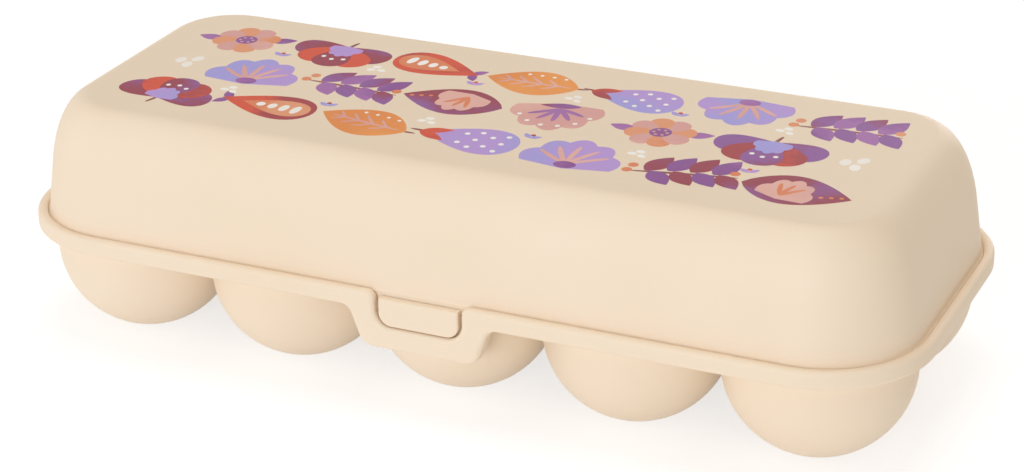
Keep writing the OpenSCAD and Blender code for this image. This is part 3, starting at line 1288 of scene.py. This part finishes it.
def lilac_fan() -> list[Mark]:
    """Draw a scalloped fan with rosy strokes.

    Returns:
        Its marks, lowest first.
    """
    marks = [Mark(Stamp.FAN, Ink.ORCHID, 0, -8.5, 90, 18.5, 30)]
    marks += [Mark(Stamp.STROKE, Ink.ROSE, 0, -7.5, turn, 12.5, 1.6) for turn in (36, 62, 90, 118, 144)]
    marks.append(Mark(Stamp.DISC, Ink.PLUM, -3.2, -8.0, 0, 6.4, 4.6))
    return marks


def rose_shell() -> list[Mark]:
    """Draw a pale fan with plum strokes and a rim of dots.

    Returns:
        Its marks, lowest first.
    """
    marks = [Mark(Stamp.FAN, Ink.ROSE, 0, -8.5, 90, 18.5, 29)]
    marks += [Mark(Stamp.STROKE, Ink.PLUM, 0, -6.5, turn, 9.5, 1.8) for turn in (30, 60, 90, 120, 150)]
    marks += [dot(Ink.WHITE, 12 * x, -8 + 14.5 * y, 1.5) for x, y in arc((0, 0), 1, 30, 150, 5)]
    marks.append(Mark(Stamp.LEAF, Ink.MAROON, -6, -8.8, 0, 12, 3.6))
    return marks


def plum_branch() -> list[Mark]:
    """Draw a curved branch with paired leaves and berries.

    Returns:
        Its marks, lowest first.
    """
    marks = [Mark(Stamp.STROKE, Ink.BROWN, -15, -1.5, 0, 30, 1.3)]
    for i in range(4):
        x = -10.5 + 6.2 * i
        rise = 1.5 * math.sin(math.pi * (x + 15) / 30) - 1.5
        marks.append(Mark(Stamp.LEAF, Ink.PLUM if i % 2 else Ink.MAROON, x, rise, 58, 12.0, 6.6))
        marks.append(Mark(Stamp.LEAF, Ink.MAROON if i % 2 else Ink.PLUM, x + 1.5, rise, -56, 10.5, 6.2))
    marks += [dot(Ink.CORAL, x, y, 2.9) for x, y in ((-14.2, 2.4), (-15.4, -1.0), (13.8, 1.2))]
    return marks


def rose_blossom() -> list[Mark]:
    """Draw a round blossom of eight petals with a dotted heart, between two leaves.

    Returns:
        Its marks, lowest first.
    """
    petals = 8
    marks = [Mark(Stamp.LEAF, Ink.PLUM, x, 0, turn, 8.5, 4.6) for x, turn in ((7.5, 14), (-7.5, 166))]
    for i in range(petals):
        ink = Ink.ROSE if i % 2 else Ink.CORAL
        marks.append(Mark(Stamp.DROP, ink, 0, 0, 360 * i / petals + 12, 10.6, 7.6))
    marks.append(dot(Ink.MAROON, 0, 0, 6.6))
    marks += [dot(Ink.ROSE, x, y, 1.0) for x, y in arc((0, 0), 2.0, 0, 300, 5)]
    return marks


def seed_pod() -> list[Mark]:
    """Draw a pod whose seeds lie in a row.

    Returns:
        Its marks, lowest first.
    """
    marks = [Mark(Stamp.LEAF, Ink.PLUM, -12.5, 0, turn, 5.5, 3.0) for turn in (128, -128)]
    marks.append(Mark(Stamp.DROP, Ink.BRICK, -15, 0, 0, 30, 18))
    marks.append(Mark(Stamp.DROP, Ink.CORAL, -8, 0, 0, 21.5, 11.6))
    marks += [Mark(Stamp.DISC, Ink.WHITE, -3.4 + 3.8 * i, 0, 0, 2.6, 2.8 + 0.9 * i) for i in range(4)]
    return marks


def dotted_bud() -> list[Mark]:
    """Draw a plump bud with white dots, in a red calyx.

    Returns:
        Its marks, lowest first.
    """
    marks = [Mark(Stamp.STROKE, Ink.BROWN, -17.5, 0.4, -4, 7, 1.2)]
    marks.append(Mark(Stamp.DROP, Ink.ORCHID, -14, 0, 0, 29, 19))
    marks += [Mark(Stamp.LEAF, Ink.BRICK, -14.5, 0, turn, 9.5, 3.6) for turn in (24, -24)]
    for i in range(4):
        spread = (-5.2, 0, 5.2) if i % 2 else (-3.2, 3.2)
        marks += [dot(Ink.WHITE, -1.5 + 3.9 * i, y, 1.6) for y in spread]
    return marks


def twin_leaf() -> list[Mark]:
    """Draw a dark leaf with a pale scalloped fan lying on it.

    Returns:
        Its marks, lowest first.
    """
    marks = [Mark(Stamp.LEAF, Ink.MAROON, -15.5, 0, 0, 31, 19)]
    marks.append(Mark(Stamp.FAN, Ink.ROSE, -3, -5.5, 78, 12.5, 17))
    marks += [Mark(Stamp.STROKE, Ink.CORAL, -3, -4.5, turn, 8.0, 1.4) for turn in (50, 78, 106)]
    marks += [dot(Ink.CORAL, 7.5 + 2.6 * i, -1.5 + 0.8 * i, 1.3) for i in range(3)]
    return marks


def white_seeds() -> list[Mark]:
    """Draw three pale seeds, a small filler.

    Returns:
        Its marks, lowest first.
    """
    spots = ((-4.6, -1.8, 10), (0.4, -1.5, -20), (-2.2, 1.9, 0))
    return [Mark(Stamp.DISC, Ink.WHITE, x, y, turn, 4.2, 3.0) for x, y, turn in spots]


def small_sprig() -> list[Mark]:
    """Draw two leaves and a berry, a small filler.

    Returns:
        Its marks, lowest first.
    """
    marks = [Mark(Stamp.LEAF, Ink.ORCHID, 0, -2.0, turn, 5.6, 2.8) for turn in (40, 140)]
    marks.append(dot(Ink.BRICK, 0, 1.2, 2.2))
    return marks


@dataclass(frozen=True)
class RoofPrint:
    """The print on the lid's roof: motifs in three staggered rows, with small ones between."""

    plan: Plan
    lid: Lid
    rows: int = 3
    columns: int = 7
    column_pitch: float = 30.5
    row_pitch: float = 21.5
    # Steps through the list of motifs from one column, and from one row, to the next
    column_stride: int = 5
    row_stride: int = 2
    # Distance of the small motifs' rows from the middle, place of the end ones in columns, and
    # the sizes of both
    filler_row: float = 14.6
    end_column: float = 3.25
    filler_size: float = 0.62
    end_size: float = 1.0
    # How far a motif may lie off its row and be tilted, and its least and greatest size
    stray: float = 1.2
    tilt_deg: float = 12
    filler_tilt_deg: float = 20
    sizes: tuple[float, float] = (0.92, 0.98)
    # Each mark of a motif is printed over the last and stands this much above it
    film: float = 0.004 * MM
    # Number of different heights, within one film, at which the motifs start
    lifts: int = 4
    seed: int = 7

    def masters(self) -> dict[Stamp, Piece]:
        """Cut each stamp once, as a plate one unit thick.

        Returns:
            The plate of each stamp.
        """
        stamps = {}
        for stamp in Stamp:
            outline = [Vector((x * MM, y * MM, 0)) for x, y in stamp_outline(stamp)]
            piece = draw_line(f"stamp_{stamp.value}", outline)
            close_line()
            bpy.ops.mesh.edge_face_add()
            extrude((0, 0, MM))
            clean(piece)
            stamps[stamp] = piece
        return stamps

    def spots(self) -> list[tuple[list[Mark], float, float, float, float]]:
        """Choose each motif's place.

        Returns:
            The motif's marks, its place along X and Y, its turn in degrees and its size, one each.
        """
        chance = random.Random(self.seed)
        large = (
            poppy, broad_leaf, lilac_fan, twin_leaf, rose_blossom,
            seed_pod, dotted_bud, plum_branch, rose_shell,
        )
        small = (white_seeds, small_sprig)
        spots = []
        for row in range(self.rows):
            level = row - (self.rows - 1) / 2
            # The middle row is staggered, so it has one motif less
            columns = self.columns - (1 if level == 0 else 0)
            for column in range(columns):
                x = (column - (columns - 1) / 2) * self.column_pitch
                kind = large[(column * self.column_stride + row * self.row_stride) % len(large)]
                y = level * self.row_pitch + chance.uniform(-self.stray, self.stray)
                turn = chance.uniform(-self.tilt_deg, self.tilt_deg) + 180 * chance.randint(0, 1)
                spots.append((kind(), x, y, turn, chance.uniform(*self.sizes)))
        for level in (-1, 1):
            for column in range(self.columns - 1):
                x = (column - (self.columns - 2) / 2) * self.column_pitch
                kind = small[(column + (level + 1) // 2) % len(small)]
                turn = chance.uniform(-self.filler_tilt_deg, self.filler_tilt_deg)
                spots.append((kind(), x, level * self.filler_row, turn, self.filler_size))
        for side in (-1, 1):
            x = side * self.end_column * self.column_pitch
            spots.append((white_seeds(), x, 0, 90, self.end_size))
        return spots

    def build(self) -> list[Piece]:
        """Stamp all motifs and join them into one film for each ink.

        Returns:
            One piece for each ink.
        """
        masters = self.masters()
        films: dict[Ink, list[Piece]] = {ink: [] for ink in Ink}
        for number, (marks, x, y, turn, size) in enumerate(self.spots()):
            # Neighbours that touch get different heights, so that no two tops coincide
            lift = number % self.lifts / self.lifts
            # A mark starts one film under the roof's skin, so that no gap shows below it
            at = Matrix.Translation((x * MM, y * MM + self.plan.middle_y, self.lid.roof_z - self.film))
            spot = at @ Matrix.Rotation(math.radians(turn), 4, "Z") @ Matrix.Diagonal((size, size, 1, 1))
            for layer, mark in enumerate(marks):
                mark_at = Matrix.Translation((mark.x * MM, mark.y * MM, 0))
                mark_turn = Matrix.Rotation(math.radians(mark.turn), 4, "Z")
                height = (layer + 2 + lift) * self.film / MM
                mark_size = Matrix.Diagonal((mark.length, mark.width, height, 1))
                matrix = spot @ mark_at @ mark_turn @ mark_size
                films[mark.ink].append(copy_of(masters[mark.stamp], "mark", matrix))
        for master in masters.values():
            bpy.data.objects.remove(master)
        pieces = []
        for ink, marks in films.items():
            film = join(marks, f"print_{ink.name.lower()}")
            film.data.materials.clear()
            film.data.materials.append(ink.value.material())
            pieces.append(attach(film, "lid"))
        return pieces


# Studio


def direction(azimuth_deg: float, elevation_deg: float) -> Vector:
    """Unit vector from the keeper towards a place in the studio.

    Args:
        azimuth_deg: angle round the keeper, from the front towards the right.
        elevation_deg: angle above the table.

    Returns:
        The vector.
    """
    azimuth, elevation = math.radians(azimuth_deg), math.radians(elevation_deg)
    return Vector((
        math.sin(azimuth) * math.cos(elevation),
        -math.cos(azimuth) * math.cos(elevation),
        math.sin(elevation),
    ))


@dataclass(frozen=True)
class SoftBox:
    """A square soft box turned to the keeper: its direction, power in watts and colour."""

    name: str
    azimuth_deg: float
    elevation_deg: float
    power: float
    colour: str = "#ffffff"
    distance: float = 3.0
    size: float = 1.4

    def hang(self) -> None:
        """Add the soft box to the scene."""
        away = direction(self.azimuth_deg, self.elevation_deg)
        data = bpy.data.lights.new(self.name, "AREA")
        data.shape = "SQUARE"
        data.size = self.size
        data.energy = self.power
        data.color = linear(self.colour)[:3]
        lamp = bpy.data.objects.new(self.name, data)
        lamp.location = away * self.distance
        lamp.rotation_euler = away.to_track_quat("Z", "Y").to_euler()
        bpy.context.scene.collection.objects.link(lamp)


@dataclass(frozen=True)
class Studio:
    """A pale floor, soft lamps and the camera of the photograph."""

    # The camera's direction round the keeper and above the table, and its tilt, in degrees
    azimuth_deg: float = 24.88
    elevation_deg: float = 24.58
    roll_deg: float = -1.05
    distance: float = 747.6 * MM
    aim: tuple[float, float, float] = (2.1 * MM, -3.6 * MM, 31.4 * MM)
    sensor: float = 36.0
    lens: float = 94.9
    floor_size: float = 8.0
    floor_colour: str = "#fbfbfb"
    # Light that comes up through the table: its level, its share of what the table sends back to
    # the keeper, and its larger share of what the camera sees, so that the shadow stays pale
    glow_level: float = 1.35
    glow_share: float = 0.1
    seen_share: float = 0.5
    # The room's light is a little warm, and the soft box in front is as cool as daylight
    world_level: float = 0.475
    room_light: str = "#fff7ec"
    boxes: tuple[SoftBox, ...] = (
        SoftBox("front_box", 0, 8, 44.7, "#e7f1ff"),
        SoftBox("left_box", -70, 8, 10.0),
        SoftBox("top_box", 0, 90, 21.5),
        SoftBox("back_box", 180, 8, 18.0),
    )

    def camera(self) -> None:
        """Set the camera up as the photograph was taken."""
        azimuth, roll = math.radians(self.azimuth_deg), math.radians(self.roll_deg)
        back = direction(self.azimuth_deg, self.elevation_deg)
        level = Vector((math.cos(azimuth), math.sin(azimuth), 0))
        upright = back.cross(level)
        right = level * math.cos(roll) + upright * math.sin(roll)
        up = upright * math.cos(roll) - level * math.sin(roll)
        data = bpy.data.cameras.new("camera")
        data.sensor_width = self.sensor
        data.lens = self.lens
        data.clip_start = 0.01
        camera = bpy.data.objects.new("camera", data)
        place = Vector(self.aim) + back * self.distance
        camera.matrix_world = Matrix.Translation(place) @ Matrix((right, up, back)).transposed().to_4x4()
        bpy.context.scene.collection.objects.link(camera)
        bpy.context.scene.camera = camera

    def seen_directly(self, tree: bpy.types.NodeTree) -> bpy.types.NodeSocket:
        """Tell what the camera, mirrors and glass see from the light on the keeper.

        Args:
            tree: the node tree that asks.

        Returns:
            A socket that is one for rays from the camera, mirrors and glass, and else zero.
        """
        path = add_node(tree, "ShaderNodeLightPath").outputs
        mirrored = add_node(tree, "ShaderNodeMath", {
            0: path["Is Camera Ray"], 1: path["Is Glossy Ray"],
        }, operation="MAXIMUM")
        seen = add_node(tree, "ShaderNodeMath", {
            0: mirrored.outputs[0], 1: path["Is Transmission Ray"],
        }, operation="MAXIMUM")
        return seen.outputs[0]

    def world(self) -> None:
        """Light from all round at a plain level, with a white backdrop for the camera."""
        world = bpy.data.worlds.new("studio")
        world.use_nodes = True
        tree = world.node_tree
        tree.nodes.clear()
        light = add_node(tree, "ShaderNodeBackground", {
            "Color": linear(self.room_light), "Strength": self.world_level,
        })
        white = add_node(tree, "ShaderNodeBackground", {"Color": WHITE_LIGHT, "Strength": 1.0})
        mix = add_node(tree, "ShaderNodeMixShader", {
            0: self.seen_directly(tree), 1: light.outputs[0], 2: white.outputs[0],
        })
        add_node(tree, "ShaderNodeOutputWorld", {"Surface": mix.outputs[0]})
        bpy.context.scene.world = world

    def floor(self) -> None:
        """A white acrylic table, lit a little from below, that keeps the keeper's soft shadow."""
        leave_edit_mode()
        bpy.ops.mesh.primitive_plane_add(size=self.floor_size, location=(0, 0, 0))
        floor = bpy.context.object
        floor.name = "floor"
        material, tree = empty_material("white_acrylic_table")
        sheet = add_node(tree, "ShaderNodeBsdfDiffuse", {"Color": linear(self.floor_colour)})
        glow = add_node(tree, "ShaderNodeEmission", {"Color": WHITE_LIGHT, "Strength": self.glow_level})
        share = add_node(tree, "ShaderNodeMath", {
            0: self.seen_directly(tree), 1: self.seen_share - self.glow_share, 2: self.glow_share,
        }, operation="MULTIPLY_ADD")
        lit = add_node(tree, "ShaderNodeMixShader", {
            0: share.outputs[0], 1: sheet.outputs[0], 2: glow.outputs[0],
        })
        add_node(tree, "ShaderNodeOutputMaterial", {"Surface": lit.outputs[0]})
        floor.data.materials.append(material)

    def build(self) -> None:
        """Set up camera, world, lamps and floor."""
        scene = bpy.context.scene
        scene.view_settings.view_transform = "Standard"
        self.camera()
        self.world()
        self.floor()
        for box in self.boxes:
            box.hang()


def main() -> None:
    """Build the keeper piece by piece and set up the studio."""
    logging.basicConfig(level=logging.INFO, format="%(name)s: %(message)s")
    plan = Plan.from_frame()
    tray_finish = MouldedPolypropylene("moulded_polypropylene_tray").material()
    lid_finish = MouldedPolypropylene("moulded_polypropylene_lid").material()
    tray, lid, hinges = Tray(plan), Lid(plan), SnapHinges(plan)
    pieces = EggCups(plan).build(tray_finish)
    pieces += [tray.deck(tray_finish), tray.rim(tray_finish)]
    pieces += [lid.shell(lid_finish), lid.tab(lid_finish)]
    for side in Side:
        pieces += [hinges.bracket(side, tray_finish), hinges.clip(side, lid_finish)]
    pieces += RoofPrint(plan, lid).build()
    for piece in pieces:
        LOG.info("%s: %d faces", piece.name, len(piece.data.polygons))
    Studio().build()


if __name__ == "__main__":
    main()
